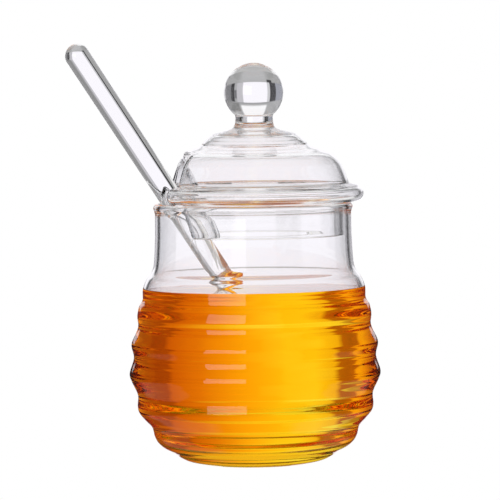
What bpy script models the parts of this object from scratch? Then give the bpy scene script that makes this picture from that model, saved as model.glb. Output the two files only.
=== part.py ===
"""Glass honey pot with a ribbed, beehive-shaped body, its lid, its dipper and the honey in it.

Run with: blender --background --python part.py

The pot is one blown glass shell with five ribs, a straight neck and a beaded mouth. Honey fills it
to just under the neck. The lid is a second shell: a solid ball knob, a dome in two steps, a flange
folded out of the wall, and a collar that hangs in the neck. One side of the lid is pressed in, so
that the handle of the glass dipper passes between the lid and the mouth. Nothing is fastened: the
lid rests on the mouth, and the dipper leans in the pot with its ridged head sunk in the honey.

Frame: the origin is the middle of the underside of the pot, +Z is up, +X is away from the dipper's
handle, and -Y is the front. Sizes are in millimetres and become metres when a mesh is made.
An outline is a list of (radius, height) points, and every glass wall is turned from one.
"""

import math

import bmesh
import bpy
from mathutils import Matrix, Vector

MM = 0.001
FACING_GAP = 0.3
DIPPER_CLEARANCE = 0.4

# How finely the outlines are cut up
POT_SEGMENTS = 44
LID_SEGMENTS = 48
DIPPER_SEGMENTS = 12
CURVE_STEPS = 8
OUTSIDE_TOLERANCE = 0.12
INSIDE_TOLERANCE = 0.22

# Pot: the outside from the edge of the flat underside up to the neck
POT_FOOT = ((18.6, 0.0), (22.3, 0.9), (24.5, 2.0), (25.9, 3.1), (27.6, 4.0), (29.6, 5.1), (31.3, 6.7))
POT_RIBS = (
    (32.3, 8.6), (33.1, 11.4), (35.4, 14.0), (37.1, 16.2), (37.6, 18.4), (37.5, 21.9), (39.3, 26.0),
    (40.0, 28.8), (38.6, 33.7), (39.3, 38.0), (37.55, 42.1), (37.05, 44.2), (37.3, 47.0), (36.7, 50.0),
)
POT_SHOULDER = ((35.55, 52.1), (35.4, 55.6), (34.1, 58.9), (32.5, 61.1), (31.75, 64.0))
POT_NECK_RADIUS = 31.3
POT_NECK_TOP = 79.3
MOUTH_BEAD = ((31.45, 80.2), (31.7, 81.2), (31.35, 82.15), (30.6, 82.5), (29.9, 82.15))
MOUTH_RADIUS = 29.8
POT_WALL = 1.45
POT_BASE_GLASS = 2.2
BASE_GLASS_HEIGHT = 8.0

HONEY_LEVEL = 55.5

# Lid: the wall's outside from the dome down to the collar, without the flange
LID_SHIFT = 0.75
KNOB_RADIUS = 9.4
KNOB_CENTRE = 117.6
KNOB_WAIST_RADIUS = 6.0
KNOB_FOOT = ((5.95, 109.4), (6.15, 107.8), (7.0, 106.2))
UPPER_DOME = ((10.0, 105.2), (13.2, 104.4), (15.3, 102.9), (16.6, 101.6))
LOWER_DOME = ((17.4, 100.7), (20.7, 99.5), (24.3, 98.1), (26.7, 95.9), (28.1, 93.4))
DOME_FOOT = (30.0, 88.4)
COLLAR_RADIUS = 28.1
COLLAR_BOTTOM = 72.0
LID_WALL = 1.3
UNDER_KNOB = 103.3

# Flange: the wall folded out on itself, resting on the mouth
FLANGE_RADIUS = 34.5
FLANGE_BOTTOM = 82.8
FLANGE_TOP = 87.9
FOLD_STEPS = 5

# The press in the side of the lid that makes way for the dipper
PRESS_HALF_ANGLE = math.radians(32.0)
PRESS_HALF_ANGLE_AT_COLLAR = math.radians(42.0)
PRESS_LINE = [Vector(point) for point in ((12.4, 72.0), (19.3, 88.3), (22.1, 94.0), (22.7, 96.5), (22.4, 99.6))]
PRESS_EASE = 1.0
FLANGE_SHRINK = 0.6

# Dipper: its tip, its lean away from the upright, and the turn of that lean towards the front
DIPPER_TIP = Vector((21.6, 1.9, 9.5))
DIPPER_LEAN = math.radians(32.5)
DIPPER_TURN = math.radians(5.0)
DIPPER_LENGTH = 146.6
HANDLE_RADIUS = 3.9
HANDLE_FOOT_RADIUS = 3.55
HEAD_LENGTH = 61.5
HEAD_RADIUS = 7.6
HEAD_CORE_SHARE = 0.58
HEAD_ROUNDNESS = 0.62
HEAD_TIP_LENGTH = 4.0
RIDGE_PITCH = 8.2
RIDGE_START = 56.0
RIDGE_RAMP = 6.0
RIDGE_SHARPNESS = 2
RINGS_PER_TURN = 6

GLASS_COLOUR = (0.93, 0.93, 0.95, 1.0)
HONEY_COLOUR = (0.95, 0.42, 0.02, 1.0)


def clear_scene():
    """Empty the scene of every object."""
    for thing in list(bpy.data.objects):
        bpy.data.objects.remove(thing, do_unlink=True)


def clear_material(name, colour, ior):
    """A see-through material with the given colour."""
    material = bpy.data.materials.new(name)
    material.use_nodes = True
    shader = material.node_tree.nodes["Principled BSDF"]
    shader.inputs["Base Color"].default_value = colour
    shader.inputs["Roughness"].default_value = 0.02
    shader.inputs["Metallic"].default_value = 0.0
    shader.inputs["IOR"].default_value = ior
    shader.inputs["Transmission Weight"].default_value = 1.0
    return material


# Outlines


def smooth_outline(points):
    """A Catmull-Rom curve through the points, as a finer list of points."""
    ends = [Vector(points[0]) * 2 - Vector(points[1])]
    tail = [Vector(points[-1]) * 2 - Vector(points[-2])]
    knots = ends + [Vector(point) for point in points] + tail
    fine = []
    for before, start, end, after in zip(knots, knots[1:], knots[2:], knots[3:]):
        for step in range(CURVE_STEPS):
            t = step / CURVE_STEPS
            fine.append(0.5 * (
                2 * start + (end - before) * t
                + (2 * before - 5 * start + 4 * end - after) * t ** 2
                + (3 * start - before - 3 * end + after) * t ** 3))
    fine.append(Vector(points[-1]))
    return fine


def thin_outline(points, tolerance):
    """The points that keep the outline within the tolerance, found by halving it at the worst one."""
    if len(points) < 3:
        return list(points)
    chord = points[-1] - points[0]
    length = max(chord.length, 1e-6)
    across = [abs(chord.cross(point - points[0])) / length for point in points]
    worst = max(range(len(points)), key=across.__getitem__)
    if across[worst] <= tolerance:
        return [points[0], points[-1]]
    return thin_outline(points[:worst + 1], tolerance)[:-1] + thin_outline(points[worst:], tolerance)


def moved_inwards(points, thickness_at):
    """The outline moved to the left of its run by thickness_at(height) at each point."""
    moved = []
    for index, point in enumerate(points):
        before = points[max(index - 1, 0)]
        after = points[min(index + 1, len(points) - 1)]
        run = (after - before).normalized()
        moved.append(point + Vector((-run.y, run.x)) * thickness_at(point.y))
    return moved


def below(points, height):
    """The part of a rising outline below the height, ending exactly there."""
    kept = [point for point in points if point.y < height]
    following = points[len(kept)]
    share = (height - kept[-1].y) / (following.y - kept[-1].y)
    return kept + [kept[-1].lerp(following, share)]


def radius_at(points, height):
    """The radius of a rising outline at a height."""
    if height <= points[0].y:
        return points[0].x
    if height >= points[-1].y:
        return points[-1].x
    return below(points, height)[-1].x


def arc(centre, radius, start, end, steps):
    """Points on an arc from one angle to another, both in degrees."""
    angles = [math.radians(start + (end - start) * step / steps) for step in range(steps + 1)]
    return [Vector((centre[0] + radius * math.cos(a), centre[1] + radius * math.sin(a))) for a in angles]


# Turned solids


def turned_mesh(name, outline, segments):
    """A closed mesh made by turning an outline, whose two ends lie on the axis, once round it."""
    shape = bmesh.new()
    profile = [shape.verts.new((point.x * MM, 0.0, point.y * MM)) for point in outline]
    edges = [shape.edges.new(pair) for pair in zip(profile, profile[1:])]
    bmesh.ops.spin(
        shape, geom=profile + edges, cent=(0, 0, 0), axis=(0, 0, 1),
        angle=math.tau, steps=segments, use_merge=True)
    bmesh.ops.remove_doubles(shape, verts=shape.verts, dist=1e-6)
    bmesh.ops.recalc_face_normals(shape, faces=shape.faces)
    mesh = bpy.data.meshes.new(name)
    shape.to_mesh(mesh)
    shape.free()
    return mesh


def reshape(mesh, new_radius):
    """Move every point of a turned mesh to the radius new_radius(radius, angle, height) gives it."""
    for vertex in mesh.vertices:
        x, y, z = vertex.co / MM
        radius = math.hypot(x, y)
        if radius < 1e-4:
            continue
        scale = new_radius(radius, math.atan2(y, x), z) / radius
        vertex.co = Vector((x * scale, y * scale, z)) * MM
    mesh.update()


def place(name, mesh, material):
    """Put a mesh in the scene as a smooth-shaded object."""
    mesh.materials.append(material)
    mesh.shade_smooth()
    mesh.set_sharp_from_angle(angle=math.radians(45))
    thing = bpy.data.objects.new(name, mesh)
    bpy.context.collection.objects.link(thing)
    return thing


# The pot and its honey


def pot_outside():
    """The outside of the pot from the edge of its underside to the top of the neck."""
    neck = ((POT_NECK_RADIUS, 71.5), (POT_NECK_RADIUS - 0.1, POT_NECK_TOP))
    return smooth_outline(POT_FOOT + POT_RIBS + POT_SHOULDER + neck)


def pot_glass_at(height):
    """The thickness of the pot's glass, which is heaviest in the base."""
    share = min(height / BASE_GLASS_HEIGHT, 1.0)
    return POT_BASE_GLASS + (POT_WALL - POT_BASE_GLASS) * share


def pot_inside():
    """The inside of the pot from the edge of its floor to the mouth."""
    outside = pot_outside()
    inside = moved_inwards(outside, pot_glass_at)
    inside[0] = Vector((outside[0].x, POT_BASE_GLASS))
    return below(inside, POT_NECK_TOP - 1.0)


def make_pot(glass):
    """The ribbed glass shell with its bead round the mouth."""
    outside = thin_outline(pot_outside(), OUTSIDE_TOLERANCE)
    inside = thin_outline(pot_inside(), INSIDE_TOLERANCE)
    bead = [Vector(point) for point in MOUTH_BEAD] + [Vector((MOUTH_RADIUS, MOUTH_BEAD[1][1]))]
    underside = [Vector((0.0, 0.0))]
    floor = [Vector((0.0, POT_BASE_GLASS))]
    outline = underside + outside + bead + inside[::-1] + floor
    return place("pot", turned_mesh("pot", outline, POT_SEGMENTS), glass)


def make_honey(honey, cutter):
    """The honey up to its level, cut round the sunk part of the dipper."""
    side = thin_outline(pot_inside(), INSIDE_TOLERANCE)
    side = below(moved_inwards(side, lambda height: FACING_GAP), HONEY_LEVEL)
    bottom = POT_BASE_GLASS + FACING_GAP
    side[0] = Vector((side[0].x, bottom))
    outline = [Vector((0.0, bottom))] + side + [Vector((0.0, HONEY_LEVEL))]
    thing = place("honey", turned_mesh("honey", outline, POT_SEGMENTS), honey)
    cut = thing.modifiers.new("round the dipper", "BOOLEAN")
    cut.operation = "DIFFERENCE"
    cut.object = cutter
    return thing


# The lid


def lid_wall_outside():
    """The outside of the lid's wall, rising from the collar to the foot of the lower dome's top."""
    collar = [Vector((COLLAR_RADIUS, COLLAR_BOTTOM)), Vector((COLLAR_RADIUS, FLANGE_BOTTOM))]
    dome = smooth_outline((DOME_FOOT,) + LOWER_DOME[::-1])
    return collar + dome


def flange_fold(radius, bottom, top):
    """The round end of the folded flange, from its top to its bottom."""
    half = (top - bottom) / 2
    return arc((radius - half, bottom + half), half, 90, -90, FOLD_STEPS)


def lid_outside():
    """The outside of the lid from the top of the knob to the bottom of the collar."""
    waist_angle = -math.degrees(math.acos(KNOB_WAIST_RADIUS / KNOB_RADIUS))
    knob = arc((0.0, KNOB_CENTRE), KNOB_RADIUS, 90, waist_angle, 10)
    knob[0].x = 0.0
    domes = smooth_outline(KNOB_FOOT + UPPER_DOME + LOWER_DOME + (DOME_FOOT,))
    domes = thin_outline(domes, OUTSIDE_TOLERANCE)
    fold = flange_fold(FLANGE_RADIUS, FLANGE_BOTTOM, FLANGE_TOP)
    collar = [Vector((COLLAR_RADIUS + 0.6, FLANGE_BOTTOM)), Vector((COLLAR_RADIUS, FLANGE_BOTTOM - 0.6))]
    half_wall = LID_WALL / 2
    lip = arc((COLLAR_RADIUS - half_wall, COLLAR_BOTTOM + half_wall), half_wall, 0, -180, 4)
    return knob + domes + fold + collar + lip


def lid_inside():
    """The inside of the lid from the bottom of the collar to the middle of the dome."""
    collar = [Vector((COLLAR_RADIUS - LID_WALL, FLANGE_BOTTOM + 0.5))]
    bottom = FLANGE_BOTTOM + LID_WALL
    top = FLANGE_TOP - LID_WALL
    fold = [Vector((COLLAR_RADIUS - LID_WALL + 0.8, bottom))]
    fold += flange_fold(FLANGE_RADIUS - LID_WALL, bottom, top)[::-1]
    rising = smooth_outline((DOME_FOOT,) + LOWER_DOME[::-1] + UPPER_DOME[::-1])
    dome = moved_inwards(rising, lambda height: LID_WALL)[1:]
    dome = [Vector((DOME_FOOT[0] - LID_WALL - 0.1, top + 0.5))] + dome
    dome = thin_outline(below(dome, UNDER_KNOB), INSIDE_TOLERANCE)
    return collar + fold + dome + [Vector((0.0, UNDER_KNOB + 0.3))]


def press_depth(wall, height):
    """How far the wall is pressed in at a height, in the middle of the press."""
    excess = radius_at(wall, height) - radius_at(PRESS_LINE, height)
    if abs(excess) < PRESS_EASE:
        return (excess + PRESS_EASE) ** 2 / (4 * PRESS_EASE)
    return max(excess, 0.0)


def press_half_angle(height):
    """Half the width of the press at a height: it widens down the collar."""
    share = min(max((FLANGE_BOTTOM - height) / (FLANGE_BOTTOM - COLLAR_BOTTOM), 0.0), 1.0)
    return PRESS_HALF_ANGLE + (PRESS_HALF_ANGLE_AT_COLLAR - PRESS_HALF_ANGLE) * share


def make_lid(glass):
    """The lid with its knob, domes, folded flange and collar, pressed in on the dipper's side."""
    wall = lid_wall_outside()
    mesh = turned_mesh("lid", lid_outside() + lid_inside(), LID_SEGMENTS)

    def pressed(radius, angle, height):
        """The radius of a point of the lid once the side is pressed in."""
        from_middle = abs(math.remainder(angle - math.pi - DIPPER_TURN, math.tau))
        across = from_middle / press_half_angle(height)
        if across > 1 or height > PRESS_LINE[-1].y:
            return radius
        share = 1 - across ** 2
        beyond_wall = max(radius - radius_at(wall, height), 0.0)
        return radius - beyond_wall * FLANGE_SHRINK * share - press_depth(wall, height) * share

    reshape(mesh, pressed)
    thing = place("lid", mesh, glass)
    thing.location.x = LID_SHIFT * MM
    return thing


# The dipper


def dipper_radii(distance):
    """The core and crest radii of the dipper at a distance from its tip."""
    if distance > HEAD_LENGTH:
        share = min((distance - HEAD_LENGTH) / (DIPPER_LENGTH - HEAD_LENGTH), 1.0)
        plain = HANDLE_FOOT_RADIUS + (HANDLE_RADIUS - HANDLE_FOOT_RADIUS) * share
        return plain, plain
    along = distance / HEAD_LENGTH
    bulge = math.sqrt(1 - ((along - 0.5) / HEAD_ROUNDNESS) ** 2)
    tip = math.sqrt(1 - (1 - min(distance / HEAD_TIP_LENGTH, 1.0)) ** 2)
    crest = HEAD_RADIUS * bulge * tip
    core = crest * HEAD_CORE_SHARE
    ramp = min((HEAD_LENGTH - distance) / RIDGE_RAMP, 1.0)
    neck = HANDLE_FOOT_RADIUS * (1 - ramp) + core * ramp
    return neck, neck + (crest - core) * ramp


def dipper_outline(clearance):
    """The dipper's outline, without its ridge, from its tip to its round top."""
    ring = RIDGE_PITCH / RINGS_PER_TURN
    rings = [0.4, 1.2] + [ring * (number + 2) for number in range(int(HEAD_LENGTH / ring) - 1)]
    stem = [HEAD_LENGTH + 0.8, DIPPER_LENGTH - HANDLE_RADIUS]
    side = [Vector((dipper_radii(distance)[0] + clearance, distance)) for distance in rings + stem]
    top = arc((0.0, DIPPER_LENGTH - HANDLE_RADIUS), HANDLE_RADIUS + clearance, 0, 90, 4)[1:]
    top[-1].x = 0.0
    return [Vector((0.0, -clearance))] + side + top


def dipper_mesh(name, clearance):
    """The dipper with one ridge winding round its head, enlarged by the clearance."""
    mesh = turned_mesh(name, dipper_outline(clearance), DIPPER_SEGMENTS)

    def ridged(radius, angle, distance):
        """The radius of a point of the head once the ridge is raised on it."""
        if distance > HEAD_LENGTH:
            return radius
        core, crest = dipper_radii(max(distance, 0.0))
        turns = (distance - RIDGE_START) / RIDGE_PITCH + angle / math.tau
        height = (0.5 + 0.5 * math.cos(math.tau * turns)) ** RIDGE_SHARPNESS
        return radius + (crest - core) * height

    reshape(mesh, ridged)
    return mesh


def lean(thing):
    """Stand a dipper-shaped object on its tip place, leaning to the left and a little forwards."""
    turn = Matrix.Rotation(DIPPER_TURN, 4, "Z") @ Matrix.Rotation(-DIPPER_LEAN, 4, "Y")
    thing.matrix_world = Matrix.Translation(DIPPER_TIP * MM) @ turn


def make_dipper(glass):
    """The glass dipper that leans in the pot."""
    thing = place("dipper", dipper_mesh("dipper", 0.0), glass)
    lean(thing)
    return thing


def make_dipper_cutter(glass):
    """A slightly larger dipper that cuts its own place in the honey."""
    thing = place("dipper_cutter", dipper_mesh("dipper_cutter", DIPPER_CLEARANCE), glass)
    lean(thing)
    thing.hide_render = True
    thing.display_type = "WIRE"
    return thing


def main():
    """Build the pot, its lid, its dipper and its honey."""
    clear_scene()
    glass = clear_material("clear glass", GLASS_COLOUR, 1.47)
    honey = clear_material("honey", HONEY_COLOUR, 1.49)
    make_pot(glass)
    make_lid(glass)
    make_dipper(glass)
    make_honey(honey, make_dipper_cutter(glass))


main()
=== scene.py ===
"""The dressed honey pot: its blown glass, its lid, its dipper and the honey in it.

Every visible piece is turned afresh, from the outlines that the solids have, at the smoothness that
clear glass needs, and takes the place of its solid. The studio behind the pot is part of the look:
clear glass shows little but what stands round it.
Sizes are in millimetres unless a name says otherwise. An outline is a list of (radius, height) points.
"""

import logging
import math
from dataclasses import dataclass, field
from enum import Enum
from typing import Callable, Sequence

import bmesh
import bpy
import numpy as np
from bpy.types import Camera, Material, Mesh, Node, NodeSocket, NodeTree, Object
from mathutils import Matrix, Vector


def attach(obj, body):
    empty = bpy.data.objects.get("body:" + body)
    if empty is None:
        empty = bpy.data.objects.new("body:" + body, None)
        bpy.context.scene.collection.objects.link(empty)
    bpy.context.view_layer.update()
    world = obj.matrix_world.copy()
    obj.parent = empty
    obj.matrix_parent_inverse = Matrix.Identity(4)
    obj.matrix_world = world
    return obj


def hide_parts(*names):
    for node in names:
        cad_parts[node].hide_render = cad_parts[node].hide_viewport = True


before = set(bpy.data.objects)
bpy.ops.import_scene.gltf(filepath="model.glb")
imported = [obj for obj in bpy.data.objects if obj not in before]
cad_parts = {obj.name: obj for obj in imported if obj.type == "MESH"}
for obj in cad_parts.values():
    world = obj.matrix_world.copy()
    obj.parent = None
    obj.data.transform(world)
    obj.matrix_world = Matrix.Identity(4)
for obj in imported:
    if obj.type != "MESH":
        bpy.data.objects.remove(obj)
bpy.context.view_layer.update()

LOG = logging.getLogger("honey_pot")
BODY = "root"

MM = 0.001
DEGREE = math.pi / 180
# Two places nearer than this are the same place
TINY = 1e-3

WHITE = (1.0, 1.0, 1.0, 1.0)
BLACK = (0.0, 0.0, 0.0, 1.0)

Outline = list[Vector]
Points = tuple[tuple[float, float], ...]


class Slot(Enum):
    """The material slots that the record names."""

    POT_GLASS = "pot_glass"
    LID_GLASS = "lid_glass"
    DIPPER_GLASS = "dipper_glass"
    HONEY = "honey"


# Outlines


def smooth_outline(points: Sequence[Sequence[float]], steps: int) -> Outline:
    """Run a smooth curve through the points.

    Args:
        points: The (radius, height) points that the curve passes.
        steps: How many pieces each stretch between two points is cut into.

    Returns:
        The curve as a finer list of points.
    """
    first = Vector(points[0]) * 2 - Vector(points[1])
    last = Vector(points[-1]) * 2 - Vector(points[-2])
    knots = [first] + [Vector(point) for point in points] + [last]
    fine = []
    for before, start, end, after in zip(knots, knots[1:], knots[2:], knots[3:]):
        for step in range(steps):
            t = step / steps
            fine.append(0.5 * (
                2 * start + (end - before) * t
                + (2 * before - 5 * start + 4 * end - after) * t ** 2
                + (3 * start - before - 3 * end + after) * t ** 3))
    fine.append(Vector(points[-1]))
    return fine


def moved_inwards(points: Outline, thickness_at: Callable[[float], float]) -> Outline:
    """Move an outline to the left of its run.

    Args:
        points: The outline, rising.
        thickness_at: The distance to move a point by, from its height.

    Returns:
        The moved outline.
    """
    moved = []
    for index, point in enumerate(points):
        before = points[max(index - 1, 0)]
        after = points[min(index + 1, len(points) - 1)]
        run = (after - before).normalized()
        moved.append(point + Vector((-run.y, run.x)) * thickness_at(point.y))
    return moved


def below(points: Outline, height: float) -> Outline:
    """Cut a rising outline off at a height.

    Args:
        points: The rising outline.
        height: Where it is cut.

    Returns:
        The part below the height, ending exactly there.
    """
    kept = [point for point in points if point.y < height]
    following = points[len(kept)]
    share = (height - kept[-1].y) / (following.y - kept[-1].y)
    return kept + [kept[-1].lerp(following, share)]


def radius_at(points: Outline, height: float) -> float:
    """Read the radius of a rising outline.

    Args:
        points: The rising outline.
        height: Where it is read.

    Returns:
        The radius there, or that of the nearer end.
    """
    if height <= points[0].y:
        return points[0].x
    if height >= points[-1].y:
        return points[-1].x
    return below(points, height)[-1].x


def arc(centre: Sequence[float], radius: float, start: float, end: float, steps: int) -> Outline:
    """Lay points on an arc.

    Args:
        centre: The middle of the arc.
        radius: Its radius.
        start: The angle of its first point, in degrees.
        end: The angle of its last point, in degrees.
        steps: How many pieces it is cut into.

    Returns:
        The points in order.
    """
    angles = [math.radians(start + (end - start) * step / steps) for step in range(steps + 1)]
    return [Vector((centre[0] + radius * math.cos(a), centre[1] + radius * math.sin(a))) for a in angles]


def filled_in(points: Outline, spacing: float) -> Outline:
    """Add points to the long straight stretches of an outline.

    Args:
        points: The outline.
        spacing: The longest stretch that is left.

    Returns:
        The outline with no longer stretch.
    """
    filled = [points[0]]
    for start, end in zip(points, points[1:]):
        pieces = max(int(math.ceil((end - start).length / spacing)), 1)
        filled += [start.lerp(end, piece / pieces) for piece in range(1, pieces + 1)]
    return filled


# Nodes and objects


def add_node(tree: NodeTree, kind: str, inputs: dict | None = None, **settings: object) -> Node:
    """Add a node with its settings and its inputs.

    Args:
        tree: The tree that it goes into.
        kind: The node's type.
        inputs: For each input, by name or number, what feeds it: a socket, a node by its first live
            output, or a plain value.
        **settings: The node's own properties.

    Returns:
        The new node.
    """
    node = tree.nodes.new(kind)
    for name, value in settings.items():
        setattr(node, name, value)
    for key, value in (inputs or {}).items():
        if isinstance(value, Node):
            value = next(output for output in value.outputs if output.enabled)
        if isinstance(value, NodeSocket):
            tree.links.new(value, node.inputs[key])
        else:
            node.inputs[key].default_value = value
    return node


def empty_material(name: str) -> Material:
    """Start a material.

    Args:
        name: Its name.

    Returns:
        The material, with nothing in its tree.
    """
    material = bpy.data.materials.new(name)
    material.use_nodes = True
    material.node_tree.nodes.clear()
    return material


def put_in_scene(name: str, data: Camera | Mesh) -> Object:
    """Make an object and put it in the scene.

    Args:
        name: Its name.
        data: Its mesh, or the camera's settings.

    Returns:
        The object, at the origin.
    """
    thing = bpy.data.objects.new(name, data)
    bpy.context.collection.objects.link(thing)
    return thing


def linear(hex_colour: str) -> tuple[float, float, float, float]:
    """Turn an sRGB hex colour into a linear one.

    Args:
        hex_colour: Six hex digits.

    Returns:
        Linear red, green and blue, and an alpha of 1.
    """
    parts = [int(hex_colour[start:start + 2], 16) / 255 for start in (0, 2, 4)]
    straight = [part / 12.92 if part <= 0.04045 else ((part + 0.055) / 1.055) ** 2.4 for part in parts]
    return (*straight, 1.0)


# Finishes


@dataclass(frozen=True, kw_only=True)
class ClearFinish:
    """What the glass and the honey share: a skin as smooth as water, over a tint that deepens with depth.

    Glass and honey bend light almost alike. So where the honey wets the glass, which the attribute
    wetted says, the face between them neither bends nor mirrors it, and what is sunk hardly shows.
    """

    name: str
    ior: float
    body_colour: str
    body_density: float

    def skin(self, tree: NodeTree, wetted: NodeSocket) -> dict:
        """Give the shader's inputs that this finish alone has."""
        raise NotImplementedError

    def material(self) -> Material:
        """Build the material.

        Returns:
            The material, with its tint in its volume.
        """
        material = empty_material(self.name)
        tree = material.node_tree
        wetted = add_node(tree, "ShaderNodeAttribute", attribute_name="wetted").outputs["Fac"]
        reflection = add_node(tree, "ShaderNodeMix", {
            "Factor": wetted, "A": WHITE, "B": BLACK}, data_type="RGBA")
        bending = add_node(tree, "ShaderNodeMapRange", {"Value": wetted, "To Min": self.ior, "To Max": 1.0})
        shader = add_node(tree, "ShaderNodeBsdfPrincipled", {
            "Roughness": 0.0, "IOR": bending, "Transmission Weight": 1.0,
            "Specular Tint": reflection, **self.skin(tree, wetted)})
        body = add_node(tree, "ShaderNodeVolumeAbsorption", {
            "Color": linear(self.body_colour), "Density": self.body_density})
        add_node(tree, "ShaderNodeOutputMaterial", {"Surface": shader, "Volume": body})
        return material


@dataclass(frozen=True, kw_only=True)
class ClearGlass(ClearFinish):
    """Borosilicate glass, blown or worked in a flame, so its skin is fire polished.

    It shows the studio bent, with dark lines where its walls turn edge on. The skin has long shallow
    waves from the working, which make those lines waver.
    """

    wave_length: float
    wave_height: float
    ior: float = 1.474
    body_colour: str = "F4F1F8"
    body_density: float = 1.2

    def skin(self, tree: NodeTree, wetted: NodeSocket) -> dict:
        """Lay the waves of the working over it.

        Args:
            tree: The material's tree.
            wetted: 1 where honey wets it.

        Returns:
            The shader's inputs.
        """
        place = add_node(tree, "ShaderNodeTexCoord").outputs["Object"]
        # A long wave with a weaker, shorter one on it
        waves = add_node(tree, "ShaderNodeTexNoise", {
            "Vector": place, "Scale": 1 / (self.wave_length * MM), "Detail": 1.0, "Roughness": 0.4})
        bumps = add_node(tree, "ShaderNodeBump", {
            "Height": waves, "Distance": self.wave_height * MM, "Strength": 1.0})
        return {"Base Color": WHITE, "Normal": bumps}


@dataclass(frozen=True, kw_only=True)
class RunnyHoney(ClearFinish):
    """Clear, runny blossom honey: light falls off in it by its depth, from yellow through to deep orange.

    Its open top has painted shade, a greyer base colour than its sides, so that from above it mirrors the
    studio more than it glows.
    """

    ior: float = 1.49
    body_colour: str = "FFF450"
    body_density: float = 80.0
    # Painted shade: the grey base colour of the open top
    painted_top_shade: str = "9A9690"

    def skin(self, tree: NodeTree, wetted: NodeSocket) -> dict:
        """Paint shade on its open top, as a grey base colour where it is dry.

        Args:
            tree: The material's tree.
            wetted: 1 where it lies against glass.

        Returns:
            The shader's inputs.
        """
        # Painted shade: the dry top gets a grey base colour, and the sides that lie against glass stay white
        tint = add_node(tree, "ShaderNodeMix", {
            "Factor": wetted, "A": linear(self.painted_top_shade), "B": WHITE}, data_type="RGBA")
        return {"Base Color": tint}


# Turning


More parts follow.
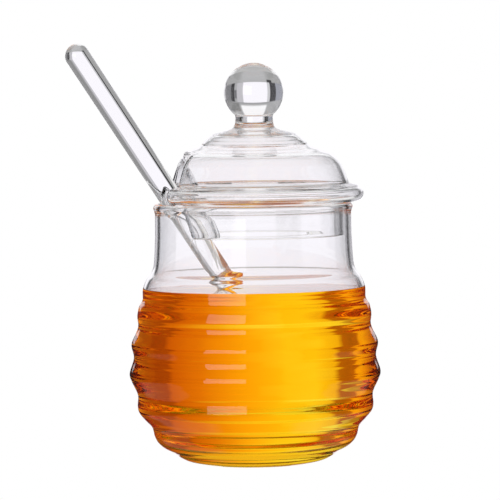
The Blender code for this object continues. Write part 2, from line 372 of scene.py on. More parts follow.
class Lathe:
    """Turns outlines into closed glass or honey, through one Geometry Nodes tree.

    The tree takes an outline, as a row of points with the attributes wetted, ridge and turns, and turns
    it once round its axis. Where ridge isn't 0, a ridge of that height winds round, and turns says how
    far round it is at that point.
    """

    def __init__(self) -> None:
        """Build the tree."""
        self.tree = bpy.data.node_groups.new("Turned on a lathe", "GeometryNodeTree")
        self.tree.is_modifier = True
        face = self.tree.interface
        face.new_socket("Geometry", in_out="INPUT", socket_type="NodeSocketGeometry")
        self.segments = face.new_socket("Segments", in_out="INPUT", socket_type="NodeSocketInt")
        self.sharpness = face.new_socket("Ridge Sharpness", in_out="INPUT", socket_type="NodeSocketFloat")
        self.finish = face.new_socket("Finish", in_out="INPUT", socket_type="NodeSocketMaterial")
        face.new_socket("Geometry", in_out="OUTPUT", socket_type="NodeSocketGeometry")
        self._fill()

    def _fill(self) -> None:
        """Put the nodes in the tree, where each sum is named for what the later ones take from it."""
        tree = self.tree
        given = add_node(tree, "NodeGroupInput").outputs
        outline = given["Geometry"]
        known = {"segments": given["Segments"], "sharpness": given["Ridge Sharpness"],
                 "index": add_node(tree, "GeometryNodeInputIndex")}
        for name, operation, *values in (
                ("columns", "ADD", "segments", 1.0), ("place", "ADD", "index", 0.5),
                ("rows on", "DIVIDE", "place", "columns"), ("row", "FLOOR", "rows on"),
                ("in rows", "MULTIPLY", "row", "columns"), ("column", "SUBTRACT", "index", "in rows"),
                ("share", "DIVIDE", "column", "segments"), ("angle", "MULTIPLY", "share", math.tau)):
            inputs = {number: known.get(value, value) for number, value in enumerate(values)}
            known[name] = add_node(tree, "ShaderNodeMath", inputs, operation=operation)
        for name in ("wetted", "ridge", "turns"):
            read = add_node(tree, "GeometryNodeInputNamedAttribute", {"Name": name}, data_type="FLOAT")
            known[name] = add_node(tree, "GeometryNodeSampleIndex", {
                "Geometry": outline, "Value": read, "Index": known["row"]}, data_type="FLOAT", domain="POINT")
        position = add_node(tree, "GeometryNodeInputPosition")
        point = add_node(tree, "GeometryNodeSampleIndex", {
            "Geometry": outline, "Value": position, "Index": known["row"]},
            data_type="FLOAT_VECTOR", domain="POINT")
        parts = add_node(tree, "ShaderNodeSeparateXYZ", {0: point}).outputs
        known["plain"] = parts["X"]
        for name, operation, *values in (
                ("round", "ADD", "turns", "share"), ("winding", "MULTIPLY", "round", math.tau),
                ("swing", "COSINE", "winding"), ("wave", "MULTIPLY_ADD", "swing", 0.5, 0.5),
                ("raised", "POWER", "wave", "sharpness"),
                ("radius", "MULTIPLY_ADD", "ridge", "raised", "plain"),
                ("cosine", "COSINE", "angle"), ("sine", "SINE", "angle"),
                ("x", "MULTIPLY", "radius", "cosine"), ("y", "MULTIPLY", "radius", "sine")):
            inputs = {number: known.get(value, value) for number, value in enumerate(values)}
            known[name] = add_node(tree, "ShaderNodeMath", inputs, operation=operation)
        turned = add_node(tree, "ShaderNodeCombineXYZ", {"X": known["x"], "Y": known["y"], "Z": parts["Z"]})
        rows = add_node(tree, "GeometryNodeAttributeDomainSize", {"Geometry": outline})
        kept = add_node(tree, "GeometryNodeMeshGrid", {
            "Vertices X": rows, "Vertices Y": known["columns"], "Size X": 1.0, "Size Y": 1.0})
        for name in ("wetted", "row"):
            kept = add_node(tree, "GeometryNodeStoreNamedAttribute", {
                "Geometry": kept, "Name": name, "Value": known[name]}, data_type="FLOAT", domain="POINT")
        moved = add_node(tree, "GeometryNodeSetPosition", {"Geometry": kept, "Position": turned})
        closed = add_node(tree, "GeometryNodeMergeByDistance", {"Geometry": moved, "Distance": TINY * MM})
        smooth = add_node(tree, "GeometryNodeSetShadeSmooth", {"Geometry": closed})
        real = add_node(tree, "GeometryNodeRealizeInstances", {"Geometry": smooth})
        dressed = add_node(tree, "GeometryNodeSetMaterial", {"Geometry": real, "Material": given["Finish"]})
        add_node(tree, "NodeGroupOutput", {"Geometry": dressed})

    def turn(self, name: str, outline: Outline, segments: int, finish: Material,
             wetted: Sequence[float] | None = None, ridge: Sequence[float] | None = None,
             turns: Sequence[float] | None = None, sharpness: float = 1.0) -> Object:
        """Turn an outline whose two ends lie on the axis.

        Args:
            name: The piece's name.
            outline: The outline.
            segments: How many steps make one turn.
            finish: The piece's material.
            wetted: For each point, 1 where glass and honey touch and 0 elsewhere.
            ridge: For each point, the height of the winding ridge.
            turns: For each point, how far round the ridge is.
            sharpness: How narrow the ridge is.

        Returns:
            A closed object whose faces point outwards.
        """
        row = bpy.data.meshes.new(name + "_outline")
        row.from_pydata([(point.x * MM, 0.0, point.y * MM) for point in outline], [], [])
        values = {"wetted": (wetted, 1.0), "ridge": (ridge, MM), "turns": (turns, 1.0)}
        for label, (given, unit) in values.items():
            stored = row.attributes.new(label, "FLOAT", "POINT")
            numbers = np.zeros(len(outline)) if given is None else np.array(given) * unit
            stored.data.foreach_set("value", numbers.astype(np.float32))
        blank = put_in_scene(name + "_outline", row)
        modifier = blank.modifiers.new("turn", "NODES")
        modifier.node_group = self.tree
        modifier[self.segments.identifier] = segments
        modifier[self.sharpness.identifier] = sharpness
        modifier[self.finish.identifier] = finish
        return solid_from(blank, name, finish)


def solid_from(blank: Object, name: str, finish: Material) -> Object:
    """Turn an object with modifiers into a plain mesh object.

    Args:
        blank: The object with its modifiers. It is removed.
        name: The new object's name.
        finish: The new object's material.

    Returns:
        The new object, at the origin, its faces pointing outwards.
    """
    graph = bpy.context.evaluated_depsgraph_get()
    mesh = bpy.data.meshes.new_from_object(blank.evaluated_get(graph), depsgraph=graph)
    bpy.data.objects.remove(blank, do_unlink=True)
    shape = bmesh.new()
    shape.from_mesh(mesh)
    bmesh.ops.recalc_face_normals(shape, faces=shape.faces)
    shape.to_mesh(mesh)
    shape.free()
    mesh.name = name
    mesh.materials.clear()
    mesh.materials.append(finish)
    mesh.shade_smooth()
    return put_in_scene(name, mesh)


def reshape(mesh: Mesh, new_place: Callable[[Vector], Vector]) -> None:
    """Move every point of a mesh.

    Args:
        mesh: The mesh.
        new_place: The new place of a point, from its old place, both in millimetres.
    """
    for vertex in mesh.vertices:
        vertex.co = new_place(vertex.co / MM) * MM
    mesh.update()


# The pot and its honey


@dataclass
class GlassPot:
    """The ribbed, beehive-shaped pot: one blown shell, heaviest in its base, with a bead round its mouth."""

    foot: Points = (
        (18.6, 0.0), (22.3, 0.9), (24.5, 2.0), (25.9, 3.1), (27.6, 4.0), (29.6, 5.1), (31.3, 6.7))
    ribs: Points = (
        (32.3, 8.6), (33.1, 11.4), (35.4, 14.0), (37.1, 16.2), (37.6, 18.4), (37.5, 21.9), (39.3, 26.0),
        (40.0, 28.8), (38.6, 33.7), (39.3, 38.0), (37.55, 42.1), (37.05, 44.2), (37.3, 47.0), (36.7, 50.0))
    shoulder: Points = ((35.55, 52.1), (35.4, 55.6), (34.1, 58.9), (32.5, 61.1), (31.75, 64.0))
    neck_radius: float = 31.3
    neck_middle: float = 71.5
    neck_taper: float = 0.1
    neck_top: float = 79.3
    bead: Points = ((31.45, 80.2), (31.7, 81.2), (31.35, 82.15), (30.6, 82.5), (29.9, 82.15))
    mouth_radius: float = 29.8
    wall: float = 1.45
    base_glass: float = 2.2
    base_glass_height: float = 8.0
    bead_glass: float = 1.0
    segments: int = 180
    steps: int = 7

    def outside(self) -> Outline:
        """Give the outside, from the edge of the underside to the top of the neck."""
        neck = ((self.neck_radius, self.neck_middle), (self.neck_radius - self.neck_taper, self.neck_top))
        return smooth_outline(self.foot + self.ribs + self.shoulder + neck, self.steps)

    def glass_at(self, height: float) -> float:
        """Give the thickness of the glass at a height."""
        share = min(height / self.base_glass_height, 1.0)
        return self.base_glass + (self.wall - self.base_glass) * share

    def inside(self, reach: float = 0.0) -> Outline:
        """Give the inside, from the edge of the floor to the mouth.

        Args:
            reach: How far into the glass it is moved, for what fills the pot.

        Returns:
            The outline, rising.
        """
        outside = self.outside()
        inside = moved_inwards(outside, lambda height: self.glass_at(height) - reach)
        inside[0] = Vector((outside[0].x, self.base_glass - reach))
        return below(inside, self.neck_top - self.bead_glass)

    def build(self, lathe: Lathe, glass: Material, honey_level: float) -> Object:
        """Turn the pot.

        Args:
            lathe: What turns it.
            glass: Its material.
            honey_level: How high the honey wets it.

        Returns:
            The pot.
        """
        bead = smooth_outline(self.bead + ((self.mouth_radius, self.bead[1][1]),), self.steps)
        outside = [Vector((0.0, 0.0))] + self.outside() + bead
        inside = self.inside()[::-1] + [Vector((0.0, self.base_glass))]
        dry = [point for point in inside if point.y > honey_level]
        wet = [point for point in inside if point.y <= honey_level]
        outline = outside + inside
        wetted = [0.0] * (len(outside) + len(dry)) + [1.0] * len(wet)
        return lathe.turn("Pot_Blown_Glass", outline, self.segments, glass, wetted)


@dataclass
class GlassDipper:
    """The glass rod that leans in the pot, with one ridge winding round its sunk head."""

    tip: tuple[float, float, float] = (21.6, 1.9, 9.5)
    lean: float = 32.5
    turn: float = 5.0
    length: float = 146.6
    handle_radius: float = 3.9
    handle_foot_radius: float = 3.55
    head_length: float = 61.5
    head_radius: float = 7.6
    core_share: float = 0.58
    roundness: float = 0.62
    tip_length: float = 4.0
    pitch: float = 8.2
    ridge_start: float = 56.0
    ridge_ramp: float = 6.0
    sharpness: float = 2.0
    segments: int = 72
    tip_rings: tuple[float, ...] = (0.03, 0.12, 0.27)
    head_ring: float = 0.4
    handle_rings: int = 40
    top_rings: int = 18

    def stand(self) -> Matrix:
        """Give the place of the dipper, whose own axis rises from its tip."""
        turned = Matrix.Rotation(math.radians(self.turn), 4, "Z")
        leant = Matrix.Rotation(-math.radians(self.lean), 4, "Y")
        return Matrix.Translation(self.tip) @ turned @ leant

    def radii(self, distance: float) -> tuple[float, float]:
        """Give the radii of the core and of the crest of the ridge.

        Args:
            distance: How far from the tip they are read.

        Returns:
            The two radii.
        """
        if distance > self.head_length:
            share = min((distance - self.head_length) / (self.length - self.head_length), 1.0)
            plain = self.handle_foot_radius + (self.handle_radius - self.handle_foot_radius) * share
            return plain, plain
        along = distance / self.head_length
        bulge = math.sqrt(1 - ((along - 0.5) / self.roundness) ** 2)
        tip = math.sqrt(1 - (1 - min(distance / self.tip_length, 1.0)) ** 2)
        crest = self.head_radius * bulge * tip
        core = crest * self.core_share
        ramp = min((self.head_length - distance) / self.ridge_ramp, 1.0)
        neck = self.handle_foot_radius * (1 - ramp) + core * ramp
        return neck, neck + (crest - core) * ramp

    def turns_at(self, distance: float) -> float:
        """Give how far round the ridge is at a distance from the tip."""
        return (distance - self.ridge_start) / self.pitch

    def build(self, lathe: Lathe, glass: Material, name: str, honey_level: float,
              reach: float = 0.0) -> Object:
        """Turn the dipper and lean it in the pot.

        Args:
            lathe: What turns it.
            glass: Its material.
            name: Its name.
            honey_level: How high the honey wets it.
            reach: How much smaller it is all round, for what lies against it.

        Returns:
            The dipper.
        """
        head_rings = int(self.head_length / self.head_ring)
        head = [self.head_ring * number for number in range(1, head_rings + 1)]
        top_start = self.length - self.handle_radius
        handle_run = top_start - self.head_length
        handle = [self.head_length + share * handle_run for share in np.linspace(0, 1, self.handle_rings)]
        distances = [*self.tip_rings, *head, *handle]
        side = [Vector((self.radii(distance)[0] - reach, distance)) for distance in distances]
        top = arc((0.0, top_start), self.handle_radius - reach, 0, 90, self.top_rings)[1:]
        top[-1].x = 0.0
        outline = [Vector((0.0, reach))] + side + top
        ridge = [0.0] + [self.radii(d)[1] - self.radii(d)[0] for d in distances] + [0.0] * len(top)
        turns = [0.0] + [self.turns_at(distance) for distance in distances] + [0.0] * len(top)
        wet_end = (honey_level - self.tip[2]) / math.cos(math.radians(self.lean))
        wetted = [1.0 if point.y < wet_end else 0.0 for point in outline]
        thing = lathe.turn(name, outline, self.segments, glass, wetted, ridge, turns, self.sharpness)
        stand = self.stand()
        reshape(thing.data, lambda point: stand @ point)
        return thing


@dataclass
class HoneyFill:
    """The honey: it fills the pot to its level, lies against the glass, and climbs a little at its edge."""

    pot: GlassPot
    dipper: GlassDipper
    level: float = 55.5
    contact: float = 0.01
    climb: float = 0.05
    climb_reach: float = 0.7
    over_the_dipper: float = 200.0
    crisp_edge: float = 50.0
    segments: int = 180
    surface_rings: int = 70

    def surface_height(self, place: Vector, wall_radius: float) -> float:
        """Give how far the surface stands above the level.

        Args:
            place: The point on the surface.
            wall_radius: The radius of the wall at the level.

        Returns:
            The height.
        """
        from_wall = wall_radius - math.hypot(place.x, place.y)
        stand = self.dipper.stand()
        axis = (stand.to_3x3() @ Vector((0, 0, 1))).normalized()
        offset = Vector((place.x, place.y, self.level)) - stand.translation
        distance = offset.dot(axis)
        from_dipper = (offset - axis * distance).length - self.dipper.radii(max(distance, 0.0))[0]
        nearest = max(min(from_wall, from_dipper), 0.0)
        return self.climb * math.exp(-nearest / self.climb_reach)

    def build(self, lathe: Lathe, honey: Material) -> Object:
        """Turn the honey and cut it round the dipper.

        Args:
            lathe: What turns it.
            honey: Its material.

        Returns:
            The honey.
        """
        side = below(self.pot.inside(self.contact), self.level)
        wall_radius = side[-1].x
        shares = np.linspace(1, 0, self.surface_rings)
        rings = [wall_radius * math.sin(math.pi / 2 * share) for share in shares]
        top = [Vector((radius, self.level)) for radius in rings[1:]]
        top[-1].x = 0.0
        floor = [Vector((0.0, self.pot.base_glass - self.contact))]
        outline = floor + side + top
        wetted = [1.0] * (len(floor) + len(side)) + [0.0] * len(top)
        thing = lathe.turn("Honey_Fill", outline, self.segments, honey, wetted)

        def risen(point: Vector) -> Vector:
            """Give a point's place once the surface has climbed at its edges."""
            if point.z < self.level - TINY:
                return point
            return point + Vector((0.0, 0.0, self.surface_height(point, wall_radius)))

        reshape(thing.data, risen)
        cutter = self.dipper.build(lathe, honey, "dipper_cutter", self.over_the_dipper, self.contact)
        cut = thing.modifiers.new("round the dipper", "BOOLEAN")
        cut.operation = "DIFFERENCE"
        cut.solver = "EXACT"
        cut.object = cutter
        graph = bpy.context.evaluated_depsgraph_get()
        mesh = bpy.data.meshes.new_from_object(thing.evaluated_get(graph), depsgraph=graph)
        thing.modifiers.remove(cut)
        thing.data = mesh
        bpy.data.objects.remove(cutter, do_unlink=True)
        mesh.name = "Honey_Fill"
        mesh.shade_smooth()
        mesh.set_sharp_from_angle(angle=math.radians(self.crisp_edge))
        return thing


# The lid


@dataclass
class GlassLid:
    """The lid, with a ball knob, two domes, a flange folded out of its wall, and a collar.

    One side is pressed in, from the lower dome down, to let the dipper by.
    """

    shift: float = 0.75
    knob_radius: float = 9.4
    knob_centre: float = 117.6
    waist_radius: float = 6.0
    knob_foot: Points = ((5.95, 109.4), (6.15, 107.8), (7.0, 106.2))
    upper_dome: Points = ((10.0, 105.2), (13.2, 104.4), (15.3, 102.9), (16.6, 101.6))
    lower_dome: Points = ((17.4, 100.7), (20.7, 99.5), (24.3, 98.1), (26.7, 95.9), (28.1, 93.4))
    dome_foot: tuple[float, float] = (30.0, 88.4)
    collar_radius: float = 28.1
    collar_bottom: float = 72.0
    wall: float = 1.3
    under_knob: float = 103.3
    flange_radius: float = 34.5
    flange_bottom: float = 82.8
    flange_top: float = 87.9
    press_half_angle: float = 31.0
    press_half_angle_at_collar: float = 41.0
    press_turn: float = 5.0
    press_line: Points = ((12.4, 72.0), (19.3, 88.3), (22.1, 94.0), (22.7, 96.5), (22.4, 99.6))
    press_ease: float = 0.8
    flange_shrink: float = 0.6
    press_step: float = 0.1
    # The wall's radius and the press's depth at each step of height, worked out once by build()
    press_table: list[tuple[float, float]] = field(default_factory=list)
    lip_room: float = 2.0
    collar_corner: Points = ((0.0, 1.0), (0.4, 0.2), (1.2, 0.0))
    inner_foot: tuple[float, float] = (0.1, 0.5)
    crown: float = 0.3
    segments: int = 216
    steps: int = 8
    knob_steps: int = 56
    fold_steps: int = 22
    collar_steps: int = 6
    lip_steps: int = 14
    spacing: float = 0.8
    angle_keys: float = 1e4

    def fold(self, radius: float, bottom: float, top: float) -> Outline:
        """Give the round end of the folded flange, from its top to its bottom."""
        half = (top - bottom) / 2
        return arc((radius - half, bottom + half), half, 90, -90, self.fold_steps)

    def collar_wall(self, radius: float, top: float) -> list[tuple[float, float]]:
        """Give the points of the collar's wall, rising from its lip into the flange's underside."""
        corner = [(radius + out, top - down) for out, down in self.collar_corner]
        return [(radius, self.collar_bottom + self.lip_room)] + corner

    def outside(self) -> Outline:
        """Give the outside, from the top of the knob to the bottom of the collar."""
        waist_angle = -math.degrees(math.acos(self.waist_radius / self.knob_radius))
        knob = arc((0.0, self.knob_centre), self.knob_radius, 90, waist_angle, self.knob_steps)
        knob[0].x = 0.0
        domes = smooth_outline(
            self.knob_foot + self.upper_dome + self.lower_dome + (self.dome_foot,), self.steps)
        fold = self.fold(self.flange_radius, self.flange_bottom, self.flange_top)
        falling = self.collar_wall(self.collar_radius, self.flange_bottom)[::-1]
        collar = smooth_outline(falling, self.collar_steps)
        half = self.wall / 2
        lip = arc((self.collar_radius - half, self.collar_bottom + half), half, 0, -180, self.lip_steps)
        return knob + domes + fold + collar + lip

    def inside(self) -> Outline:
        """Give the inside, from the bottom of the collar to the middle of the dome."""
        bottom = self.flange_bottom + self.wall
        top = self.flange_top - self.wall
        collar = smooth_outline(self.collar_wall(self.collar_radius - self.wall, bottom), self.collar_steps)
        fold = self.fold(self.flange_radius - self.wall, bottom, top)[::-1]
        rising = smooth_outline(
            (self.dome_foot,) + self.lower_dome[::-1] + self.upper_dome[::-1], self.steps)
        dome = moved_inwards(rising, lambda height: self.wall)[1:]
        aside, above = self.inner_foot
        dome = [Vector((self.dome_foot[0] - self.wall - aside, top + above))] + dome
        return collar + fold + below(dome, self.under_knob) + [Vector((0.0, self.under_knob + self.crown))]

    def wall_outside(self) -> Outline:
        """Give the outside of the wall, rising from the collar to the lower dome's top."""
        collar = [Vector((self.collar_radius, self.collar_bottom)),
                  Vector((self.collar_radius, self.flange_bottom))]
        return collar + smooth_outline((self.dome_foot,) + self.lower_dome[::-1], self.steps)

    def press_half_angle_at(self, height: float) -> float:
        """Give half the press's width at a height, in radians: it widens down the collar."""
        share = min(max((self.flange_bottom - height) / (self.flange_bottom - self.collar_bottom), 0.0), 1.0)
        wide = self.press_half_angle_at_collar - self.press_half_angle
        return math.radians(self.press_half_angle + wide * share)

    def press_depth(self, height: float) -> float:
        """Give how far the wall is pressed in at a height, in the middle of the press."""
        line = [Vector(point) for point in self.press_line]
        excess = radius_at(self.wall_outside(), height) - radius_at(line, height)
        if abs(excess) < self.press_ease:
            return (excess + self.press_ease) ** 2 / (4 * self.press_ease)
        return max(excess, 0.0)

    def pressed(self, points: Outline, angle: float) -> Outline:
        """Press an outline in.

        Args:
            points: An outline on the outside of the wall.
            angle: How far round from the middle of the press it stands, in radians.

        Returns:
            The outline, pressed in.
        """
        moved = []
        for point in points:
            across = abs(angle) / self.press_half_angle_at(point.y)
            if across >= 1 or point.y > self.press_line[-1][1]:
                moved.append(point)
                continue
            row = min(int(point.y / self.press_step), len(self.press_table) - 1)
            wall_radius, depth = self.press_table[row]
            beyond = max(point.x - wall_radius, 0.0) * self.flange_shrink
            moved.append(Vector((point.x - (beyond + depth) * (1 - across ** 2), point.y)))
        return moved

    def build(self, lathe: Lathe, glass: Material) -> Object:
        """Turn the lid and press its side in, with the wall as thick there as elsewhere.

        Args:
            lathe: What turns it.
            glass: Its material.

        Returns:
            The lid.
        """
        outside = filled_in(self.outside(), self.spacing)
        inside = filled_in(self.inside(), self.spacing)
        partners = moved_inwards(inside, lambda height: -self.wall)
        thing = lathe.turn("Lid_Blown_Glass", outside + inside, self.segments, glass)
        wall = self.wall_outside()
        count = int(self.press_line[-1][1] / self.press_step) + 2
        heights = [step * self.press_step for step in range(count)]
        self.press_table = [(radius_at(wall, height), self.press_depth(height)) for height in heights]
        rows = thing.data.attributes["row"].data
        sections = {}
        for vertex in thing.data.vertices:
            x, y, z = vertex.co / MM
            angle = math.remainder(math.atan2(y, x) - math.pi - math.radians(self.press_turn), math.tau)
            radius = math.hypot(x, y)
            if radius > TINY and abs(angle) < math.radians(self.press_half_angle_at_collar):
                spoke = round(angle * self.angle_keys)
                if spoke not in sections:
                    outer = self.pressed(outside, angle)
                    sections[spoke] = outer + self.pressed_inside(inside, partners, angle)
                place = sections[spoke][round(rows[vertex.index].value)]
                vertex.co = Vector((x * place.x / radius, y * place.x / radius, place.y)) * MM
            vertex.co.x += self.shift * MM
        thing.data.update()
        return thing

    def pressed_inside(self, inside: Outline, partners: Outline, angle: float) -> Outline:
        """Press the inside in along with the outside.

        Args:
            inside: The inside outline.
            partners: The points of the outside that it lies under.
            angle: How far round from the middle of the press it stands, in radians.

        Returns:
            The inside outline, pressed in.
        """
        before = moved_inwards(partners, lambda height: self.wall)
        after = moved_inwards(self.pressed(partners, angle), lambda height: self.wall)
        moved = [point + new - old for point, new, old in zip(inside, after, before)]
        moved[-1] = inside[-1]
        return moved


# The studio


BACKDROP = (1.0, 0.98, 1.035)


@dataclass(frozen=True)
class Card:
    """A bright or dark card round the pot, in degrees: bearing 0 is behind it and 90 is to its right."""

    left: float
    right: float
    bottom: float
    top: float
    colour: tuple[float, float, float]
    softness: float


@dataclass(frozen=True)
class Change:
    """A change from one strength to another, between two bearings or two heights."""

    start: float
    end: float
    before: float
    after: float


@dataclass
class GoldReflector:
    """The gold card that stands behind and round the honey, out of the camera's sight, to make it glow.

    It is a shallow hood: a curved back, a floor and a brow that ends just under the eye line. It glows
    on its inner side alone, its outer side is as grey as the table, and it is seen only through glass.
    """

    hub: float = 0.5
    radius: float = 110.0
    mouth: float = 43.0
    bottom: float = -1.0
    top: float = 48.6
    brow: float = 51.0
    columns: int = 96
    # Its golds by bearing, to both sides of the middle of a quarter, which the other quarters repeat
    shade_reach: float = 45.0
    shades: tuple[tuple[float, str], ...] = (
        (-45, "C88440"), (-40, "DC9448"), (-33, "F0B050"), (-29, "FCC45C"), (-26, "F8BC58"),
        (-24, "B87434"), (-20, "A86C30"), (-16.5, "B07434"), (-14.5, "F0D49C"), (-9, "FFF4CC"),
        (-4, "FFF0C4"), (0, "FCD496"), (4, "EFB266"), (8, "DC8E46"), (13, "CE7832"), (15.5, "C66E2A"),
        (17.5, "A05018"), (24, "9C4C16"), (26, "A85818"), (34, "A86022"), (45, "C88440"))
    # It glows most at the bearings that light the honey's edges, and less past them
    flank: Change = Change(42.0, 54.0, 1.1, 1.9)
    past_flank: Change = Change(66.0, 76.0, 1.0, 0.68)
    # A pale blue band along the top of its back, which the honey's own yellow turns to cream
    crest_colour: str = "9EB0FF"
    crest_strength: float = 3.0
    crest_bearing: float = -7.0
    crest_reach: Change = Change(7.0, 18.0, 0.7, 0.0)
    crest_rise: tuple[float, float] = (48.0, 48.6)
    crest_end: Change = Change(49.1, 49.4, 1.0, 0.5)
    outer_grey: Change = Change(35.0, 48.0, 0.52, 0.92)

    def material(self) -> Material:
        """Build its material, which glows by bearing and height.

        Returns:
            The material.
        """
        material = empty_material("Gold reflector card")
        tree = material.node_tree
        place = add_node(tree, "ShaderNodeTexCoord").outputs["Object"]
        parts = add_node(tree, "ShaderNodeSeparateXYZ", {0: place}).outputs
        height = parts["Z"]
        bearing = add_node(tree, "ShaderNodeMath", {0: parts["X"], 1: parts["Y"]}, operation="ARCTAN2")
        side = self.shade_reach * DEGREE
        within = add_node(tree, "ShaderNodeMath", {0: bearing, 1: -side, 2: side}, operation="WRAP")
        share = add_node(tree, "ShaderNodeMapRange", {"Value": within, "From Min": -side, "From Max": side})
        gold = add_node(tree, "ShaderNodeValToRGB", {0: share})
        ramp = gold.color_ramp
        while len(ramp.elements) < len(self.shades):
            ramp.elements.new(0.5)
        for element, (where, shade) in zip(ramp.elements, self.shades):
            element.position = (where + self.shade_reach) / (2 * self.shade_reach)
            element.color = linear(shade)
        from_crest = add_node(tree, "ShaderNodeMath", {
            0: bearing, 1: -self.crest_bearing * DEGREE}, operation="ADD")
        aside, off_crest = [add_node(tree, "ShaderNodeMath", {0: angle}, operation="ABSOLUTE")
                            for angle in (bearing, from_crest)]
        flank, past_flank, reach, crest_end, outer_grey = [
            add_node(tree, "ShaderNodeMapRange", {
                "Value": value, "From Min": change.start * unit, "From Max": change.end * unit,
                "To Min": change.before, "To Max": change.after})
            for change, value, unit in (
                (self.flank, aside, DEGREE), (self.past_flank, aside, DEGREE),
                (self.crest_reach, off_crest, DEGREE), (self.crest_end, height, MM),
                (self.outer_grey, aside, DEGREE))]
        crest = add_node(tree, "ShaderNodeMapRange", {
            "Value": height, "From Min": self.crest_rise[0] * MM, "From Max": self.crest_rise[1] * MM,
            "To Max": reach})
        crest_share, strength = [
            add_node(tree, "ShaderNodeMath", {0: one, 1: other}, operation="MULTIPLY")
            for one, other in ((crest, crest_end), (flank, past_flank))]
        warm, cool, grey = [
            add_node(tree, "ShaderNodeEmission", {"Color": colour, "Strength": power})
            for colour, power in (
                (gold, strength), (linear(self.crest_colour), self.crest_strength), (WHITE, outer_grey))]
        glow = add_node(tree, "ShaderNodeMixShader", {0: crest_share, 1: warm, 2: cool})
        outer = add_node(tree, "ShaderNodeNewGeometry").outputs["Backfacing"]
        card = add_node(tree, "ShaderNodeMixShader", {0: outer, 1: glow, 2: grey})
        clear = add_node(tree, "ShaderNodeBsdfTransparent")
        seen = add_node(tree, "ShaderNodeLightPath").outputs["Is Transmission Ray"]
        both = add_node(tree, "ShaderNodeMixShader", {0: seen, 1: clear, 2: card})
        add_node(tree, "ShaderNodeOutputMaterial", {"Surface": both})
        return material

    def build(self) -> Object:
        """Turn the hood and stand it round the pot.

        Returns:
            The hood.
        """
        outline = [(self.hub, self.bottom), (self.radius, self.bottom), (self.radius, self.top),
                   (self.mouth, self.brow)]
        places = []
        for column in range(self.columns + 1):
            turn = math.pi * (2 * column / self.columns - 1)
            places += [(radius * math.sin(turn) * MM, radius * math.cos(turn) * MM, height * MM)
                       for radius, height in outline]
        count = len(outline)
        faces = [(column * count + row, (column + 1) * count + row, (column + 1) * count + row + 1,
                  column * count + row + 1) for column in range(self.columns) for row in range(count - 1)]
        mesh = bpy.data.meshes.new("Gold_Reflector")
        mesh.from_pydata(places, [], faces)
        mesh.materials.append(self.material())
        thing = put_in_scene("Gold_Reflector", mesh)
        return thing


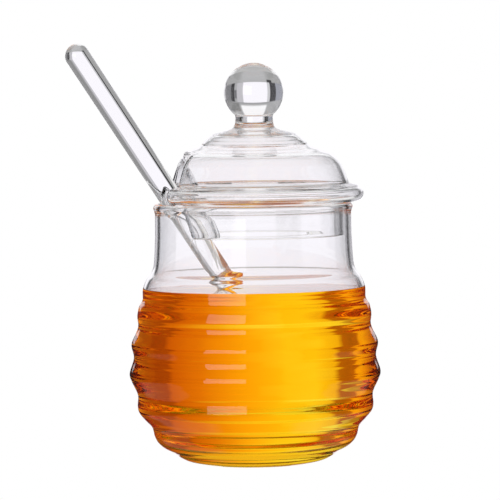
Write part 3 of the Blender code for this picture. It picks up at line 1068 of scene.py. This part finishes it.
@dataclass
class Studio:
    """The white product studio, whose cards the glass bends into its bright panes and dark lines.

    What the glass lets through and what it mirrors come from two sets of cards, because the front of
    the studio is kept dark, as through a polarising filter. A card hangs in front of those before it.
    """

    through: tuple[Card, ...] = (
        # The dim room, the lit ceiling, and the table behind the pot
        Card(-200, 200, -95, 95, (0.18, 0.18, 0.19), 1.0),
        Card(-75, -34, -95, 95, (0.3, 0.3, 0.35), 8.0),
        Card(-200, 200, 36, 95, (0.6, 0.6, 0.6), 8.0),
        Card(-40, 40, 36, 95, (0.95, 0.95, 0.95), 8.0),
        Card(-65, 65, -60, -13.5, (0.38, 0.38, 0.38), 3.0),
        Card(-20, 20, -60, -13.5, (0.5, 0.5, 0.51), 9.0),
        # Bright table in front, at both sides of the camera
        Card(115, 155, -45, -2, (0.9, 0.9, 0.91), 6.0),
        Card(-155, -115, -45, -2, (0.9, 0.9, 0.91), 6.0),
        # The wall over the backdrop, which the domes and the ball bend down into sight
        Card(-75, 38, 13, 40, (0.42, 0.42, 0.43), 4.0),
        Card(22, 75, 14, 30, (0.24, 0.24, 0.24), 3.0),
        Card(-19, 19, 17.5, 40, (1.0, 1.0, 1.02), 3.0),
        # Black flags at both sides, which draw the outline of the glass
        Card(62, 123, -18, 14, (0.1, 0.1, 0.1), 1.0),
        Card(-123, -70, -18, 14, (0.1, 0.1, 0.1), 1.0),
        # Narrow black and grey cards beside the backdrop: the dark lines and soft greys inside that outline
        Card(-70, -36, -14, 13, (0.32, 0.33, 0.38), 1.5),
        Card(-28, -19, -18, -12, (0.02, 0.02, 0.02), 1.5),
        Card(-36, -23, -14, 13, (0.05, 0.05, 0.055), 1.5),
        Card(28, 37, -14, 13, (0.01, 0.01, 0.01), 1.5),
        Card(14, 29, -14, 13, (0.4, 0.4, 0.41), 1.5),
        Card(23, 29, -4, 8, (0.16, 0.16, 0.17), 1.5),
        Card(-23, -18, -13.8, 13, (0.6, 0.6, 0.62), 0.8),
        Card(14, 24, -13.8, 13, (0.54, 0.53, 0.56), 0.8),
        # The white backdrop, and its like at both sides and in front, behind the pot in the other views
        Card(-18.5, 14, -13.8, 13, BACKDROP, 0.8),
        Card(66, 120, -14.6, 13, BACKDROP, 0.8),
        Card(-120, -74, -14.6, 13, BACKDROP, 0.8),
        Card(153, 207, -14.6, 13, BACKDROP, 0.8),
        Card(-207, -153, -14.6, 13, BACKDROP, 0.8),
    )
    mirrored: tuple[Card, ...] = (
        # The dark room, and one window at the front left, which is the streak on the glass
        Card(-200, 200, -95, 95, (0.02, 0.02, 0.02), 1.0),
        Card(-171.4, -132, -8, 25, (2.1, 2.1, 2.1), 0.8),
        # The table at both sides, and the backdrop with the wall over it
        Card(-95, -35, -70, -20, (0.25, 0.25, 0.25), 6.0),
        Card(35, 95, -70, -20, (0.25, 0.25, 0.25), 6.0),
        Card(-25, 25, 1.5, 60, (1.0, 0.99, 1.02), 2.0),
        Card(-9, 9, -15, 13, BACKDROP, 1.0),
    )
    table_reach: float = 1500.0
    table_drop: float = 0.5
    table_cells: int = 8
    distance: float = 1200.0
    eye_height: float = 128.0
    aim: tuple[float, float] = (-1.1, 67.5)
    lens: float = 272.0
    sensor: float = 36.0
    clip: tuple[float, float] = (50.0, 20000.0)
    roll: float = 0.8
    # Light goes through many walls here: fewer bounces leave black bands in the honey
    bounces: int = 40
    mirror_bounces: int = 24

    def _mask_tree(self) -> NodeTree:
        """Build the tree that says how far a direction is within a card.

        Returns:
            The tree, from the direction's bearing and height and the card's sides.
        """
        tree = bpy.data.node_groups.new("Within a card", "ShaderNodeTree")
        for name in ("Bearing", "Height", "Left", "Right", "Bottom", "Top", "Softness"):
            tree.interface.new_socket(name, in_out="INPUT", socket_type="NodeSocketFloat")
        tree.interface.new_socket("Share", in_out="OUTPUT", socket_type="NodeSocketFloat")
        given = add_node(tree, "NodeGroupInput").outputs
        share = 1.0
        for more, less in (
                ("Bearing", "Left"), ("Right", "Bearing"), ("Height", "Bottom"), ("Top", "Height")):
            beyond = add_node(tree, "ShaderNodeMath", {0: given[more], 1: given[less]}, operation="SUBTRACT")
            soft = add_node(tree, "ShaderNodeMath", {0: beyond, 1: given["Softness"]}, operation="DIVIDE")
            side = add_node(tree, "ShaderNodeMath", {0: soft, 1: 0.5}, operation="ADD", use_clamp=True)
            share = add_node(tree, "ShaderNodeMath", {0: share, 1: side}, operation="MULTIPLY")
        add_node(tree, "NodeGroupOutput", {"Share": share})
        return tree

    def light(self) -> None:
        """Hang the cards, and leave plain white behind the pot where the camera looks past it."""
        world = bpy.data.worlds.new("Product studio")
        bpy.context.scene.world = world
        world.use_nodes = True
        tree = world.node_tree
        tree.nodes.clear()
        seen = add_node(tree, "ShaderNodeTexCoord").outputs["Generated"]
        parts = add_node(tree, "ShaderNodeSeparateXYZ", {0: seen}).outputs
        bearing = add_node(tree, "ShaderNodeMath", {0: parts["X"], 1: parts["Y"]}, operation="ARCTAN2")
        rise = add_node(tree, "ShaderNodeMath", {0: parts["Z"]}, operation="ARCSINE")
        way = [add_node(tree, "ShaderNodeMath", {0: angle}, operation="DEGREES") for angle in (bearing, rise)]
        mask = self._mask_tree()
        through, mirrored = [self._hung(tree, cards, way, mask) for cards in (self.through, self.mirrored)]
        path = add_node(tree, "ShaderNodeLightPath").outputs
        colour = add_node(tree, "ShaderNodeMix", {
            "Factor": path["Is Reflection Ray"], "A": through, "B": mirrored}, data_type="RGBA")
        lit = add_node(tree, "ShaderNodeBackground", {"Color": colour, "Strength": 1.0})
        white = add_node(tree, "ShaderNodeBackground", {"Color": WHITE, "Strength": 1.0})
        both = add_node(tree, "ShaderNodeMixShader", {0: path["Is Camera Ray"], 1: lit, 2: white})
        add_node(tree, "ShaderNodeOutputWorld", {"Surface": both})

    def _hung(self, tree: NodeTree, cards: tuple[Card, ...], way: list[Node], mask: NodeTree) -> Node:
        """Hang one set of cards.

        Args:
            tree: The world's tree.
            cards: The cards, each in front of those before it.
            way: The bearing and the height that are looked in, in degrees.
            mask: The tree that says how far a direction is within a card.

        Returns:
            The colour seen that way.
        """
        colour = BLACK
        for card in cards:
            share = add_node(tree, "ShaderNodeGroup", {
                "Bearing": way[0], "Height": way[1], "Left": card.left, "Right": card.right,
                "Bottom": card.bottom, "Top": card.top, "Softness": card.softness}, node_tree=mask)
            colour = add_node(tree, "ShaderNodeMix", {
                "Factor": share, "A": colour, "B": (*card.colour, 1.0)}, data_type="RGBA")
        return colour

    def table(self) -> Object:
        """Lay the white table, which lets light through from below, as a light table does.

        Returns:
            The table.
        """
        material = empty_material("White light table")
        tree = material.node_tree
        seen = add_node(tree, "ShaderNodeLightPath").outputs["Is Camera Ray"]
        clear = add_node(tree, "ShaderNodeBsdfTransparent")
        white = add_node(tree, "ShaderNodeEmission", {"Color": WHITE, "Strength": 1.0})
        both = add_node(tree, "ShaderNodeMixShader", {0: seen, 1: clear, 2: white})
        add_node(tree, "ShaderNodeOutputMaterial", {"Surface": both})
        shape = bmesh.new()
        bmesh.ops.create_grid(
            shape, x_segments=self.table_cells, y_segments=self.table_cells, size=self.table_reach * MM)
        bmesh.ops.translate(shape, verts=shape.verts, vec=(0, 0, -self.table_drop * MM))
        mesh = bpy.data.meshes.new("Floor")
        shape.to_mesh(mesh)
        shape.free()
        mesh.materials.append(material)
        thing = put_in_scene("Floor", mesh)
        return thing

    def camera(self) -> Object:
        """Stand the camera where the photograph was taken from.

        Returns:
            The camera.
        """
        data = bpy.data.cameras.new("Camera")
        data.lens = self.lens
        data.sensor_width = self.sensor
        data.clip_start, data.clip_end = (reach * MM for reach in self.clip)
        thing = put_in_scene("Camera", data)
        eye = Vector((self.aim[0], -self.distance, self.eye_height))
        look = Vector((self.aim[0], 0.0, self.aim[1])) - eye
        turned = look.to_track_quat("-Z", "Y").to_matrix().to_4x4()
        turned = turned @ Matrix.Rotation(math.radians(-self.roll), 4, "Z")
        thing.matrix_world = Matrix.Translation(eye * MM) @ turned
        bpy.context.scene.camera = thing
        return thing

    def build(self) -> None:
        """Light the studio, lay its table and stand its reflector and its camera."""
        self.light()
        GoldReflector().build()
        self.table()
        self.camera()
        view = bpy.context.scene.view_settings
        view.view_transform = "Standard"
        view.look = "None"
        view.exposure = 0.0
        view.gamma = 1.0
        rays = bpy.context.scene.cycles
        rays.max_bounces = self.bounces
        rays.transmission_bounces = self.bounces
        rays.glossy_bounces = self.mirror_bounces


def settle(piece: Object, node: str) -> None:
    """Give a finished piece its body, hide its solid, and log it.

    Args:
        piece: The finished piece.
        node: The solid that it stands for.
    """
    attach(piece, BODY)
    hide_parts(node)
    faces = sum(len(face.vertices) - 2 for face in piece.data.polygons)
    LOG.info("%s: %d triangles", piece.name, faces)


def main() -> None:
    """Build the pot, its lid, its dipper and its honey, and the studio round them."""
    logging.basicConfig(level=logging.INFO, format="%(name)s: %(message)s")
    lathe = Lathe()
    blown = ClearGlass(name="Blown borosilicate glass", wave_length=28.0, wave_height=0.02).material()
    drawn = ClearGlass(name="Drawn borosilicate rod", wave_length=20.0, wave_height=0.01).material()
    honey = RunnyHoney(name="Runny blossom honey").material()
    pot = GlassPot()
    dipper = GlassDipper()
    fill = HoneyFill(pot, dipper)
    settle(pot.build(lathe, blown, fill.level), "pot")
    settle(GlassLid().build(lathe, blown), "lid")
    settle(dipper.build(lathe, drawn, "Dipper_Glass_Rod", fill.level), "dipper")
    settle(fill.build(lathe, honey), "honey")
    Studio().build()


if __name__ == "__main__":
    main()
